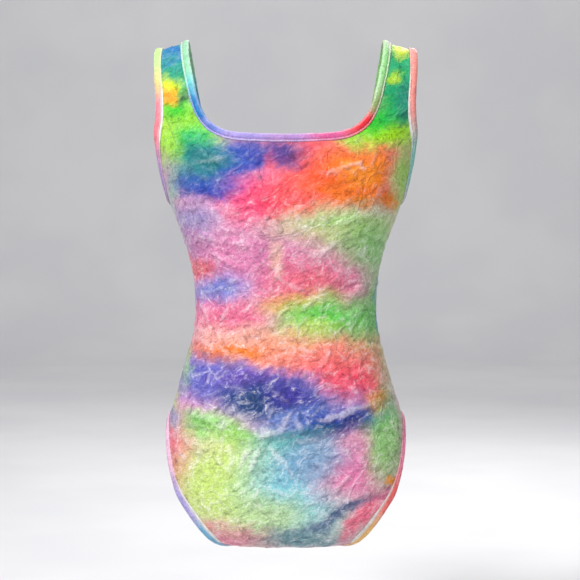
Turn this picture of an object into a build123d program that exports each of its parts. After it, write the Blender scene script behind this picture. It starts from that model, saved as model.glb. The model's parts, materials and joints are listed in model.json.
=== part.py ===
"""A sleeveless gymnastics leotard, shaped as it is when worn.

Units are millimetres. +Z is up, the front of the garment faces -Y and +X is the wearer's left.
The origin is the middle of the crotch, where the underside of the wearer's body would touch.

The garment is built from nested copies of one worn-body shape. The space between two copies is a
layer of cloth, and each opening is a cutter that can be grown inward by any distance, so a binding,
an elastic and a panel edge are the same opening at different distances.
"""

from build123d import *
import os
from math import cos, hypot, radians, sin

# ---------------------------------------------------------------- driving dimensions
SHOULDER_Z = 629.0  # height that the shoulder line would have at the middle of the neck
SHOULDER_DROP = 0.28  # how far the shoulder line falls for each millimetre outward
DROP_FROM_Z = 460.0  # below this height the body's sections are level
CHEST_TOP_Z = 505.0  # where the shoulders start to close over
BOTTOM_ROUND = 50.0  # height of the rounded edge under the hips
ROUNDNESS = 2.4  # exponent of the body's sections: 2 is an ellipse, more is squarer

BINDING_WIDTH = 9.5
BINDING_LIP = 1.2  # how far the fold of a binding stands past the panel's edge
ELASTIC_WIDTH = 6.0
GAP = 0.1  # clearance between two layers that lie on each other

# distance of each layer's two faces from the wearer's body
BINDING_INNER = 0.3
BINDING_OUTER = 4.1
POCKET = (1.1, 3.2)  # the space inside a binding
PANEL = (1.2, 2.4)
ELASTIC = (2.5, 3.1)
LINING = (0.3, 1.1)

SEAM_WIDTH = 6.0
SEAM_FROM = 0.8  # how far a seam allowance reaches across the seam line
CROTCH_SEAM_Y = 30.0
LINING_TOP_Z = 78.0
UNDERSIDE_TOP_Z = 5.0  # cloth below this height lies flat under the body

LABEL_WIDTH = 26.0
LABEL_HEIGHT = 40.0
LABEL_Z = 268.0
LABEL_THICK = 0.4
LABEL_CLEAR = 0.4  # from the wearer's body to the label's stitched edge
LABEL_BEHIND_SEAM = 0.5
LABEL_LEAN = 12.0  # degrees that the label leans in from the back panel

FAR = 260.0  # past every side of the garment

# height, half width, depth in front, depth behind
BODY = (
    (85, 144.5, 98.5, 111.5),
    (120, 143.5, 95.5, 109.5),
    (145, 139.5, 93, 105),
    (170, 131.5, 91, 98),
    (195, 124, 88.5, 91),
    (220, 117, 85.5, 84.5),
    (245, 110, 83, 80),
    (268, 106.5, 82, 78),
    (290, 106.5, 83.5, 78.5),
    (315, 108.5, 88, 80.5),
    (339, 113.5, 95, 83.5),
    (362, 120, 103, 86.5),
    (386, 129, 110, 89),
    (409, 138, 113, 91),
    (433, 147, 112, 92),
    (457, 156, 107.5, 92),
    (481, 165, 101, 91),
)
FLAT_BOTTOM = (82.0, 60.0, 64.0)  # half width and depths of the flat underside
HIP_EDGE = (141.0, 98.5, 108.5)  # the same at the top of the rounded edge
CHEST_TOP = (173.0, 93.5, 88.5)  # the same where the shoulders start to close over
SHOULDER_WIDTH = 180.0

# outlines of the openings, each on the wearer's left half
NECK_FRONT = (
    (0, 487), (40, 488), (72, 491.5), (88, 501), (96, 514), (101.5, 529),
    (106, 548), (110.5, 567), (114, 586), (115.5, 605), (116, 640),
)
NECK_BACK = (
    (0, 424), (36, 426.5), (66, 437), (86, 460), (98, 492), (105, 525),
    (109.5, 552), (112.5, 572), (114.3, 588), (115.5, 605), (116, 640),
)
ARM_FRONT = (
    (154, 440), (155, 458), (155, 478), (151.5, 502), (150.5, 520), (153, 550), (155.5, 580), (157, 640),
)
ARM_BACK = (
    (153, 440), (153, 458), (151.5, 478), (148.5, 502), (147.5, 520), (150.5, 550), (154.5, 580), (157, 640),
)
ARM_SIDE = (
    (-50, 482), (-44, 462), (-36, 440), (-23, 420), (-3, 411), (18, 418), (33, 438), (43, 460), (50, 482),
)
LEG_FRONT = (
    (83, 0), (88.5, 8), (99, 20), (108, 32), (117, 43), (126, 55),
    (133, 67), (139.5, 80), (146, 96), (152, 112),
)
LEG_BACK = (
    (94, 0), (101, 8), (111, 19), (120, 31), (127.5, 43), (134, 56),
    (139, 70), (144, 88), (150, 112),
)
LEG_SIDE = (
    (-53, 64), (-46, 78), (-38, 97), (-27, 122), (-14, 139), (0, 145),
    (15, 140), (30, 124), (42, 99), (50, 78), (56, 64),
)
LEG_UNDER = (
    (130, -82), (97, -68), (81, -51), (60, -29), (45, -12), (40, 3),
    (45, 17), (62, 35), (86, 55), (108, 74), (140, 90),
)


# ---------------------------------------------------------------- the worn body
def half_outline(width, front, back):
    """Points round one half of the body, from the middle of the front to the middle of the back."""
    power = 2 / ROUNDNESS
    outline = []
    for step in range(0, 181, 10):
        depth = abs(cos(radians(step))) ** power
        forward = -front * depth if step <= 90 else back * depth
        outline.append((width * sin(radians(step)) ** power, forward))
    outline[-1] = (0.0, back)
    return outline


def lengths_along(outline):
    """How far along an outline each of its points is, as a share of the whole."""
    total = [0.0]
    for (x0, y0), (x1, y1) in zip(outline, outline[1:]):
        total.append(total[-1] + hypot(x1 - x0, y1 - y0))
    return [distance / total[-1] for distance in total]


# the same for every section, so that the loft stays light
SHARES = lengths_along(half_outline(140, 95, 95))


def section(height, width, front, back, drop=0.0):
    """Closed outline of one half of the body at a height, with its outer side dropped for a shoulder."""
    outline = [Vector(x, y, height - drop * x) for x, y in half_outline(width, front, back)]
    ends = [Vector(1, 0, -drop), Vector(-1, 0, drop)]
    curve = Edge.make_spline(outline, tangents=ends, parameters=SHARES)
    return Wire([curve, Edge.make_line(outline[-1], outline[0])])


def half_body(clear):
    """The left half of the worn body, grown outward by a clearance."""
    sections = []
    for tip in (0, 15, 30, 45, 60, 75, 90):
        turn = radians(tip)
        sizes = [f + (h - f + clear) * sin(turn) for f, h in zip(FLAT_BOTTOM, HIP_EDGE)]
        sections.append(section(BOTTOM_ROUND - (BOTTOM_ROUND + clear) * cos(turn), *sizes))
    for height, *sizes in BODY:
        sections.append(section(height, *[size + clear for size in sizes]))
    for tip in (0, 14, 28, 42, 55, 67, 78, 86):
        turn = radians(tip)
        height = CHEST_TOP_Z + (SHOULDER_Z - CHEST_TOP_Z + clear) * sin(turn)
        width, front, back = (size + clear for size in CHEST_TOP)
        width += (SHOULDER_WIDTH - CHEST_TOP[0]) * sin(turn)
        drop = SHOULDER_DROP * (height - DROP_FROM_Z) / (SHOULDER_Z - DROP_FROM_Z)
        sections.append(section(height, width, front * cos(turn), back * cos(turn), drop))
    return Solid.make_loft(sections)


BODIES = {}


def layer(inner, outer):
    """The cloth-thick space between two clearances, left half."""
    for clear in (inner, outer):
        if clear not in BODIES:
            BODIES[clear] = half_body(clear)
    return BODIES[outer] - BODIES[inner]


# ---------------------------------------------------------------- openings
def shifted(points, distance):
    """An outline moved sideways by a distance, to the right of the way it runs."""
    moved = []
    for i, (x, y) in enumerate(points):
        before, after = points[max(i - 1, 0)], points[min(i + 1, len(points) - 1)]
        along = (after[0] - before[0], after[1] - before[1])
        length = hypot(*along)
        moved.append((x + distance * along[1] / length, y - distance * along[0] / length))
    return moved


def region(outline, *corners):
    """A flat face bounded by a smooth outline and then by straight lines through the corners."""
    curve = Spline(*outline)
    ring = Polyline(outline[-1], *corners, outline[0])
    return make_face([curve, ring])


def front_view(face, near, far):
    """A face drawn as (across, up), carried from one depth to another."""
    return extrude(Plane((0, near, 0), x_dir=(1, 0, 0), z_dir=(0, -1, 0)) * face, amount=near - far)


def side_view(face):
    """A face drawn as (depth, up), carried out past the wearer's left side."""
    return extrude(Plane((90, 0, 0), x_dir=(0, 1, 0), z_dir=(1, 0, 0)) * face, amount=FAR)


def under_view(face, top):
    """A face drawn as (across, depth), carried down from a height past the underside."""
    return extrude(Plane((0, 0, top), x_dir=(1, 0, 0), z_dir=(0, 0, 1)) * face, amount=-FAR)


def neck_opening(grown):
    """The neck opening, grown into the cloth."""
    parts = []
    for outline, far in ((NECK_FRONT, -FAR), (NECK_BACK, FAR)):
        edge = shifted(outline, grown)
        edge[0] = (0, outline[0][1] - grown)
        face = region(edge, (edge[-1][0], FAR * 3), (-20, FAR * 3), (-20, edge[0][1]))
        parts.append(front_view(face, 0, far))
    return parts


def arm_opening(grown):
    """The left arm opening, grown into the cloth."""
    parts = []
    for outline, far in ((ARM_FRONT, -FAR), (ARM_BACK, FAR)):
        edge = shifted(outline, -grown)
        face = region(edge, (edge[-1][0], FAR * 3), (FAR, FAR * 3), (FAR, edge[0][1]))
        parts.append(front_view(face, 0, far))
    edge = shifted(ARM_SIDE, grown)
    parts.append(side_view(region(edge)))
    return parts


def leg_opening(grown):
    """The left leg opening, grown into the cloth."""
    parts = []
    for outline, far in ((LEG_FRONT, -FAR), (LEG_BACK, FAR)):
        edge = shifted(outline, -grown)
        face = region(edge, (FAR, edge[-1][1]), (FAR, edge[0][1]))
        parts.append(front_view(face, 0, far))
    edge = shifted(LEG_SIDE, -grown)
    parts.append(side_view(region(edge)))
    edge = shifted(LEG_UNDER, -grown)
    face = region(edge, (FAR, edge[-1][1]), (FAR, edge[0][1]))
    parts.append(under_view(face, LEG_FRONT[1][1]))
    return parts


def without(solid, cutters):
    """A solid with every cutter taken from it."""
    for cutter in cutters:
        solid = solid - cutter
    return solid


def near_edge(solid, opening, start, end):
    """The strip of a solid between two distances from the edge of an opening."""
    kept = without(solid, opening(start))
    return kept - without(kept, opening(end))


# ---------------------------------------------------------------- splitting front from back
def behind(shift):
    """Everything behind the side, shoulder and crotch seams, moved back by a shift."""
    tall = Box(FAR * 3, FAR, FAR * 3, align=(Align.CENTER, Align.MIN, Align.MIN))
    under = Box(FAR * 3, FAR, FAR, align=(Align.CENTER, Align.MIN, Align.MAX))
    return Pos(0, shift, UNDERSIDE_TOP_Z) * tall + Pos(0, CROTCH_SEAM_Y + shift, UNDERSIDE_TOP_Z) * under


def slab(low, high):
    """A box between two corners."""
    size = [b - a for a, b in zip(low, high)]
    return Pos(*low) * Box(*size, align=Align.MIN)


def whole(half):
    """A piece that crosses the middle: a left half joined to its mirror image."""
    return half + mirror(half, about=Plane.YZ)


# ---------------------------------------------------------------- panels and linings
def panel(is_front):
    """The front or back panel: one cut piece from the crotch to the shoulders."""
    cloth = layer(*PANEL)
    for opening in (neck_opening, arm_opening, leg_opening):
        cloth = without(cloth, opening(BINDING_LIP + GAP))
    if is_front:
        return whole(cloth - behind(-GAP / 2))
    return whole(cloth & behind(GAP / 2))


def gusset_lining():
    """The lining inside the crotch, from the crotch seam forward and up the front."""
    cloth = layer(*LINING) & slab((-FAR, -FAR, -FAR), (FAR, FAR, LINING_TOP_Z))
    cloth = cloth - behind(-SEAM_FROM - GAP)
    return whole(without(cloth, leg_opening(BINDING_WIDTH + GAP)))


# ---------------------------------------------------------------- bindings and elastics
def binding(opening):
    """A strip folded over the edge of an opening, left half."""
    folded = near_edge(layer(BINDING_INNER, BINDING_OUTER), opening, 0, BINDING_WIDTH)
    return folded - without(layer(*POCKET), opening(BINDING_LIP))


def elastic(opening):
    """The narrow elastic that lies inside a binding, left half."""
    start = BINDING_LIP + 2 * GAP
    return near_edge(layer(*ELASTIC), opening, start, start + ELASTIC_WIDTH)


# ---------------------------------------------------------------- seams
def seam(low, high, *openings):
    """A seam allowance lying against the inside of the cloth, between two corners."""
    strip = layer(*LINING) & slab(low, high)
    for opening in openings:
        strip = without(strip, opening(BINDING_WIDTH + GAP))
    return strip


def side_seam():
    """The left side seam, from the arm binding down to the leg binding."""
    top_of_leg = max(height for _, height in LEG_SIDE)
    bottom_of_arm = min(height for _, height in ARM_SIDE)
    low = (0, -SEAM_FROM, top_of_leg)
    high = (FAR, SEAM_WIDTH - SEAM_FROM, bottom_of_arm)
    return seam(low, high, arm_opening, leg_opening)


def shoulder_seam():
    """The left shoulder seam, across the top of the strap."""
    low = (0, -SEAM_WIDTH / 2, CHEST_TOP_Z)
    high = (FAR, SEAM_WIDTH / 2, FAR * 3)
    return seam(low, high, neck_opening, arm_opening)


def crotch_seam():
    """The seam that joins the front panel, the lining and the back panel under the body."""
    start = CROTCH_SEAM_Y - SEAM_FROM
    strip = slab((0, start, -LINING[1]), (FLAT_BOTTOM[0], start + SEAM_WIDTH, -LINING[0]))
    return whole(without(strip, leg_opening(BINDING_WIDTH + GAP)))


# ---------------------------------------------------------------- care label
def care_label():
    """A blank satin label whose stitched edge lies along the left side seam at the waist."""
    waist = min(width for _, width, _, _ in BODY)
    plate = Box(LABEL_THICK, LABEL_WIDTH, LABEL_HEIGHT, align=(Align.CENTER, Align.MIN, Align.CENTER))
    return Pos(waist - LABEL_CLEAR, LABEL_BEHIND_SEAM, LABEL_Z) * Rot(0, 0, LABEL_LEAN) * plate


# ---------------------------------------------------------------- the whole garment
def write(name, shape):
    """One STEP file for one node."""
    export_step(shape, f"parts/{name}.step")


def write_pair(name, left):
    """A left piece and its mirror image on the wearer's right."""
    write(f"left_{name}", left)
    write(f"right_{name}", mirror(left, about=Plane.YZ))


os.makedirs("parts", exist_ok=True)
write("front_panel", panel(True))
write("back_panel", panel(False))
write("gusset_lining", gusset_lining())
write("neck_binding", whole(binding(neck_opening)))
write("neck_elastic", whole(elastic(neck_opening)))
write_pair("armhole_binding", binding(arm_opening))
write_pair("armhole_elastic", elastic(arm_opening))
write_pair("leg_binding", binding(leg_opening))
write_pair("leg_elastic", elastic(leg_opening))
write_pair("side_seam", side_seam())
write_pair("shoulder_seam", shoulder_seam())
write("crotch_seam", crotch_seam())
write("care_label", care_label())
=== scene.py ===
import json
from math import cos, pi, radians, sin

import bpy
import numpy as np
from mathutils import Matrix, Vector
from mathutils.bvhtree import BVHTree


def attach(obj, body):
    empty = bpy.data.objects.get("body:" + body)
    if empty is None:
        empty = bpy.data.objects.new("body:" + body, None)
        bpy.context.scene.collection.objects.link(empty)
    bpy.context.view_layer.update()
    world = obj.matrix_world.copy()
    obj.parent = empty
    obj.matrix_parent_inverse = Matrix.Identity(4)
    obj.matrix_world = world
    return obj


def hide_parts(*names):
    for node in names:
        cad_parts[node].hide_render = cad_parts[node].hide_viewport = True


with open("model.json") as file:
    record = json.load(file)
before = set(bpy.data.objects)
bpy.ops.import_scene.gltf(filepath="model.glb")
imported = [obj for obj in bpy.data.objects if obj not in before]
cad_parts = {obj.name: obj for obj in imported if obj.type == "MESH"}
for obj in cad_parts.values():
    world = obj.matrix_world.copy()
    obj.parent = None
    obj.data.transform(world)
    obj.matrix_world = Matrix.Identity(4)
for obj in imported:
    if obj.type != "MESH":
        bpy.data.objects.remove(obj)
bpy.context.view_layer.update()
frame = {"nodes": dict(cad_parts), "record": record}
MM = 0.001

# ------------ the worn body, as in the CAD (mm)
SHOULDER_Z = 629.0
SHOULDER_DROP = 0.28
DROP_FROM_Z = 460.0
CHEST_TOP_Z = 505.0
BOTTOM_ROUND = 50.0
ROUNDNESS = 2.4
CROTCH_SEAM_Y = 30.0
CROTCH_BELOW_Z = 5  # below this the crotch seam divides front from back, above it the side seams do
# height, half width, depth in front and depth behind of each level of the wearer
BODY = (
    (85, 144.5, 98.5, 111.5), (120, 143.5, 95.5, 109.5), (145, 139.5, 93, 105), (170, 131.5, 91, 98),
    (195, 124, 88.5, 91), (220, 117, 85.5, 84.5), (245, 110, 83, 80), (268, 106.5, 82, 78),
    (290, 106.5, 83.5, 78.5), (315, 108.5, 88, 80.5), (339, 113.5, 95, 83.5), (362, 120, 103, 86.5),
    (386, 129, 110, 89), (409, 138, 113, 91), (433, 147, 112, 92), (457, 156, 107.5, 92),
    (481, 165, 101, 91),
)
# half width, depth in front and depth behind
FLAT_BOTTOM = (82.0, 60.0, 64.0)
HIP_EDGE = (141.0, 98.5, 108.5)
CHEST_TOP = (173.0, 93.5, 88.5)
SHOULDER_WIDTH = 180.0
TYPICAL_SECTION = (140, 95)  # half width and depth of the section that spaces the columns

# outlines of the openings: across and up, but behind and up for the sides, across and behind for
# LEG_UNDER
NECK_FRONT = (
    (0, 487), (40, 488), (72, 491.5), (88, 501), (96, 514), (101.5, 529),
    (106, 548), (110.5, 567), (114, 586), (115.5, 605), (116, 640),
)
NECK_BACK = (
    (0, 424), (36, 426.5), (66, 437), (86, 460), (98, 492), (105, 525),
    (109.5, 552), (112.5, 572), (114.3, 588), (115.5, 605), (116, 640),
)
ARM_FRONT = (
    (154, 440), (155, 458), (155, 478), (151.5, 502), (150.5, 520), (153, 550), (155.5, 580), (157, 640),
)
ARM_BACK = (
    (153, 440), (153, 458), (151.5, 478), (148.5, 502),
    (147.5, 520), (150.5, 550), (154.5, 580), (157, 640),
)
ARM_SIDE = (
    (-50, 482), (-44, 462), (-36, 440), (-23, 420), (-3, 411), (18, 418), (33, 438), (43, 460), (50, 482),
)
LEG_FRONT = (
    (83, 0), (88.5, 8), (99, 20), (108, 32), (117, 43),
    (126, 55), (133, 67), (139.5, 80), (146, 96), (152, 112),
)
LEG_BACK = (
    (94, 0), (101, 8), (111, 19), (120, 31), (127.5, 43), (134, 56), (139, 70), (144, 88), (150, 112),
)
LEG_SIDE = (
    (-53, 64), (-46, 78), (-38, 97), (-27, 122), (-14, 139), (0, 145),
    (15, 140), (30, 124), (42, 99), (50, 78), (56, 64),
)
LEG_UNDER = (
    (130, -82), (97, -68), (81, -51), (60, -29), (45, -12), (40, 3),
    (45, 17), (62, 35), (86, 55), (108, 74), (140, 90),
)
# where each outline counts (heights, and distances out from the middle)
NECK_ABOVE_Z = 380
ARM_FRONT_ABOVE_Z = 440
ARM_SIDE_BELOW_Z = 482
LEG_FRONT_BELOW_Z = 112
LEG_SIDE_ABOVE_Z = 64
LEG_UNDER_BELOW_Z = 8
SIDES_BEYOND_X = 90

# ------------ cloth sizes (mm)
# clearances of a layer's outer and inner face from the wearer
PANEL = (2.4, 1.2)
LINING = (1.1, 0.3)
PANEL_EDGE = 2.8  # the panel stops this far inside the folded edge
CELL = 2.3  # size of the panels' mesh cells
BODY_CELL = 2.6  # size of the cells of the body that the bindings lie on
BINDING_STEP = 1.6
RING_SMOOTHING = 90  # passes that take the mesh's steps out of an opening's edge
SHORTEST_RING = 40  # points; what is shorter is a scrap and no opening's edge
# section of a binding: distance from the opening's edge, height above the wearer's body
BINDING_SECTION = (
    (9.9, 2.5), (9.75, 3.2), (9.2, 3.65), (8.5, 3.5), (7.95, 2.9), (7.5, 3.3), (6.6, 4.15), (5.3, 4.6),
    (3.8, 4.7), (2.2, 4.5), (1.0, 3.9), (0.3, 3.1), (0.0, 2.2), (0.3, 1.3), (1.2, 0.6), (3.0, 0.35),
    (6.0, 0.3), (8.4, 0.4), (9.3, 0.75), (9.4, 1.1), (5.0, 1.1), (1.35, 1.1), (1.35, 3.15), (4.4, 3.15),
    (7.4, 3.1), (8.2, 2.5),
)
FOLD_TOP = 8  # the point of the section on top of the fold
SHEEN_STRIPS = ((0, 4), (9, 13))  # the thin ridge and the folded edge, which get painted sheen: a paler colour where the rounded pile would catch the light
LINING_TOP_Z = 78.0
LINING_SEAM_BELOW_Z = 40  # below this the lining ends at the crotch seam
LINING_GAP = 0.9  # the lining ends this far in front of the crotch seam
LABEL_WAIST = 106.5  # half width of the waist, where the label is sewn in
LABEL_Z = 268.0
LABEL_SIZE = (25.4, 40.0)
LABEL_IN_SEAM = 0.6
LABEL_HALF_THICKNESS = 0.2
LABEL_LEAN = radians(12)
LABEL_GRID = (34, 24)
STITCH_AT = (7.95, 3.05)  # the binding's groove, in the terms of its section
STITCH_LENGTH = 2.5
STITCH_PITCH = 3.4
STITCH_RADIUS = 0.24
STITCH_SIDES = 6
# a stitch along its length: place as a share of its length, thickness, lift
STITCH_PROFILE = (
    (-0.5, 0.15, -0.25), (-0.42, 0.8, 0.02), (-0.2, 1.0, 0.12),
    (0.2, 1.0, 0.12), (0.42, 0.8, 0.02), (0.5, 0.15, -0.25),
)


# ------------ small number tools
def smooth_step(values, low, high):
    t = np.clip((values - low) / (high - low), 0, 1)
    return t * t * (3 - 2 * t)


def lengths_along(points):
    """Distance from the first point to each point, along the chain."""
    return np.concatenate([[0], np.cumsum(np.linalg.norm(np.diff(points, axis=0), axis=1))])


def closed(ring):
    """A ring of points with its first point repeated at the end."""
    return np.concatenate([ring, ring[:1]])


def smoothed(ring, passes):
    """A ring of points, each drawn towards its neighbours."""
    for _ in range(passes):
        ring = ring * 0.5 + (np.roll(ring, 1, axis=0) + np.roll(ring, -1, axis=0)) * 0.25
    return ring


def through(points, spacing):
    """Points evenly spaced along a smooth curve through the given points."""
    points = np.array(points, float)
    knots = lengths_along(points)
    count = max(int(knots[-1] / spacing), 4) + 1
    return at_knots(knots, points, np.linspace(0, knots[-1], count))


def straight_between(knots, rows, at):
    """Rows of values at the given places, in straight steps from row to row."""
    return np.stack([np.interp(at, knots, column) for column in rows.T], axis=-1)


def at_knots(knots, values, at):
    """Smooth interpolation of rows of values, with slopes taken from each row's neighbours."""
    slopes = np.gradient(values, knots, axis=0)
    i = np.clip(np.searchsorted(knots, at, side="right") - 1, 0, len(knots) - 2)
    span = (knots[i + 1] - knots[i])[:, None]
    t = (at - knots[i])[:, None] / span
    a, b = values[i], values[i + 1]
    m, n = slopes[i] * span, slopes[i + 1] * span
    from_a = a * (2 * t**3 - 3 * t**2 + 1) + m * (t**3 - 2 * t**2 + t)
    return from_a + b * (3 * t**2 - 2 * t**3) + n * (t**3 - t**2)


LATTICE_SIZE = 64
LATTICE = np.random.default_rng(11).random((LATTICE_SIZE,) * 3)


def noise(points, size):
    """Smooth random values from -1 to 1, with bumps of about the given size."""
    p = points / size
    cell = np.floor(p).astype(int)
    f = p - cell
    f = f * f * (3 - 2 * f)
    total = np.zeros(len(points))
    for corner in range(8):
        step = np.array([corner & 1, corner >> 1 & 1, corner >> 2 & 1])
        weight = np.prod(np.where(step, f, 1 - f), axis=1)
        total += weight * LATTICE[tuple(((cell + step) % LATTICE_SIZE).T)]
    return total * 2 - 1


# ------------ the worn body's surface
def stations(clear):
    """Height, half width, depth in front, depth behind and outer drop of each level, going up."""
    rows = []
    for share in (0.0, 0.25, 0.5, 0.75):
        width, front, back = FLAT_BOTTOM
        rows.append((-clear, width, front * share, back * share, 0.0))
    for tip in (0, 15, 30, 45, 60, 75, 90):
        turn = radians(tip)
        sizes = [f + (h - f + clear) * sin(turn) for f, h in zip(FLAT_BOTTOM, HIP_EDGE)]
        rows.append((BOTTOM_ROUND - (BOTTOM_ROUND + clear) * cos(turn), *sizes, 0.0))
    for height, *sizes in BODY:
        rows.append((height, *[size + clear for size in sizes], 0.0))
    for tip in (0, 14, 28, 42, 55, 67, 78, 86, 90):
        turn = radians(tip)
        height = CHEST_TOP_Z + (SHOULDER_Z - CHEST_TOP_Z + clear) * sin(turn)
        width, front, back = (size + clear for size in CHEST_TOP)
        width += (SHOULDER_WIDTH - CHEST_TOP[0]) * sin(turn)
        drop = SHOULDER_DROP * (height - DROP_FROM_Z) / (SHOULDER_Z - DROP_FROM_Z)
        rows.append((height, width, front * cos(turn), back * cos(turn), drop))
    return np.array(rows)


def levels(clear, cell):
    """Closely spaced levels, as many of them for every clearance."""
    knots = lengths_along(stations(0.0)[:, [0, 2]])
    count = int(knots[-1] / cell) + 1
    rows = at_knots(knots, stations(clear), np.linspace(0, knots[-1], count))
    rows[:, 2:4] = np.maximum(rows[:, 2:4], 0)
    return rows


def turns(cell):
    """Angles round a section whose points are evenly spaced, over the front half."""
    fine = np.linspace(-pi / 2, pi / 2, 4001)
    power = 2 / ROUNDNESS
    x = TYPICAL_SECTION[0] * np.sign(np.sin(fine)) * np.abs(np.sin(fine)) ** power
    y = TYPICAL_SECTION[1] * np.cos(fine) ** power
    along = lengths_along(np.stack([x, y], axis=1))
    count = int(along[-1] / cell) // 2 * 2 + 1
    return np.interp(np.linspace(0, along[-1], count), along, fine)


def body_grid(clear, cell):
    """Points of the whole body, levels by columns, front half and then back half."""
    rows, angles = levels(clear, cell), turns(cell)
    power = 2 / ROUNDNESS
    across = np.sign(np.sin(angles)) * np.abs(np.sin(angles)) ** power
    depth = np.clip(np.cos(angles), 0, 1) ** power
    across = np.concatenate([across, across[::-1][1:-1]])
    is_back = np.concatenate([np.zeros(len(angles), bool), np.ones(len(angles) - 2, bool)])
    depth = np.concatenate([depth, depth[::-1][1:-1]])
    x = rows[:, 1:2] * across
    y = np.where(is_back, rows[:, 3:4] * depth, -rows[:, 2:3] * depth)
    z = rows[:, 0:1] - rows[:, 4:5] * np.abs(x)
    return np.stack([x, y, z], axis=2)


def grid_faces(height, width):
    """Two triangles for each cell of a body grid, its halves joined at the shoulders and the crotch."""
    i, j = np.meshgrid(np.arange(height - 1), np.arange(width), indexing="ij")
    a = i * width + j
    b = i * width + (j + 1) % width
    c, d = b + width, a + width
    faces = np.concatenate([np.stack(corners, -1).reshape(-1, 3) for corners in ((a, b, c), (a, c, d))])
    same = np.arange(height * width)
    half = width // 2 + 1
    for first in (0, (height - 1) * width):
        behind = np.arange(half, width)
        same[first + behind] = first + width - behind
    faces = same[faces]
    real = (faces[:, 0] != faces[:, 1]) & (faces[:, 1] != faces[:, 2]) & (faces[:, 0] != faces[:, 2])
    return faces[real]


def surface_normals(grid):
    """Outward normal at each point of a body grid."""
    up = np.gradient(grid, axis=0)
    around = np.roll(grid, -1, axis=1) - np.roll(grid, 1, axis=1)
    n = np.cross(around, up)
    size = np.linalg.norm(n, axis=2, keepdims=True)
    return n / np.maximum(size, 1e-9)


# ------------ openings as signed distances
def beside(points, outline):
    """Distance of points to the right (negative) or left (positive) of an outline's way."""
    line = through(outline, 3.0)
    first, last = line[0] - line[1], line[-1] - line[-2]
    line = np.concatenate([[line[0] + first * 60], line, [line[-1] + last * 60]])
    a, d = line[:-1], np.diff(line, axis=0)
    best = np.full(len(points), 1e9)
    side = np.ones(len(points))
    for start, along in zip(a, d):
        rel = points - start
        t = np.clip(rel @ along / (along @ along), 0, 1)
        gap = rel - t[:, None] * along
        size = np.hypot(gap[:, 0], gap[:, 1])
        turn = along[0] * rel[:, 1] - along[1] * rel[:, 0]
        closer = size < best - 1e-6
        best = np.where(closer, size, best)
        side = np.where(closer, np.sign(turn), side)
    return best * side


def from_front(p):
    """Points seen from the front with both halves laid on one: across and up."""
    return np.stack([np.abs(p[:, 0]), p[:, 2]], axis=1)


def neck_field(p):
    """How far each point is inside the neck opening; negative on the cloth."""
    halves = [beside(from_front(p), ((-60, half[0][1]),) + half) for half in (NECK_FRONT, NECK_BACK)]
    return np.minimum(np.where(p[:, 1] < 0, *halves), p[:, 2] - NECK_ABOVE_Z)


def arm_field(p):
    """How far each point is inside an arm opening."""
    flat = from_front(p)
    front = -np.where(p[:, 1] < 0, beside(flat, ARM_FRONT), beside(flat, ARM_BACK))
    front = np.minimum(front, p[:, 2] - ARM_FRONT_ABOVE_Z)
    side = np.minimum(beside(p[:, 1:3], ARM_SIDE), flat[:, 0] - SIDES_BEYOND_X)
    side = np.minimum(side, ARM_SIDE_BELOW_Z - p[:, 2])
    return np.maximum(front, side)


def leg_field(p):
    """How far each point is inside a leg opening."""
    flat = from_front(p)
    front = -np.where(p[:, 1] < 0, beside(flat, LEG_FRONT), beside(flat, LEG_BACK))
    front = np.minimum(front, np.minimum(LEG_FRONT_BELOW_Z - p[:, 2], p[:, 2]))
    side = np.minimum(flat[:, 0] - SIDES_BEYOND_X, p[:, 2] - LEG_SIDE_ABOVE_Z)
    side = np.minimum(side, -beside(p[:, 1:3], LEG_SIDE))
    under = -beside(np.stack([flat[:, 0], p[:, 1]], axis=1), LEG_UNDER)
    under = np.minimum(under, LEG_UNDER_BELOW_Z - p[:, 2])
    return np.maximum(np.maximum(front, side), under)


def behind_field(p):
    """How far each point is behind the side, shoulder and crotch seams."""
    return np.where(p[:, 2] < CROTCH_BELOW_Z, p[:, 1] - CROTCH_SEAM_Y, p[:, 1])


def lining_end(p):
    """How far each point is behind the end of the lining, at the crotch seam."""
    return np.where(p[:, 2] < LINING_SEAM_BELOW_Z, p[:, 1] - CROTCH_SEAM_Y + LINING_GAP, p[:, 1])


def clip(points, faces, field):
    """The part of a mesh where a field is below zero, cut cleanly. Points may carry extra columns."""
    sign = field[faces] < 0
    count = sign.sum(axis=1)
    keep = faces[count == 3]
    crossing = faces[(count == 1) | (count == 2)]
    inside = field[crossing] < 0
    alone = np.where(inside.sum(axis=1) == 1, inside.argmax(axis=1), (~inside).argmax(axis=1))
    turned = np.stack([crossing[np.arange(len(crossing)), (alone + k) % 3] for k in range(3)], axis=1)
    single = inside.sum(axis=1) == 1
    pairs = np.concatenate([turned[:, [0, 1]], turned[:, [0, 2]]])
    low, high = pairs.min(axis=1), pairs.max(axis=1)
    unique, back = np.unique(low.astype(np.int64) * len(points) + high, return_inverse=True)
    low, high = unique // len(points), unique % len(points)
    t = field[low] / (field[low] - field[high])
    new = points[low] + t[:, None] * (points[high] - points[low])
    first, second = np.split(back + len(points), 2)
    lone = np.stack([turned[:, 0], first, second], axis=1)[single]
    pair_a = np.stack([first, turned[:, 1], turned[:, 2]], axis=1)[~single]
    pair_b = np.stack([first, turned[:, 2], second], axis=1)[~single]
    points = np.concatenate([points, new])
    faces = np.concatenate([keep, lone, pair_a, pair_b])
    used, faces = np.unique(faces, return_inverse=True)
    return points[used], faces.reshape(-1, 3)


def border(faces):
    """Directed edges of a mesh that only one face uses."""
    edges = np.concatenate([faces[:, [0, 1]], faces[:, [1, 2]], faces[:, [2, 0]]])
    key = np.sort(edges, axis=1)
    _, index, count = np.unique(key, axis=0, return_index=True, return_counts=True)
    return edges[index[count == 1]]


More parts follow.
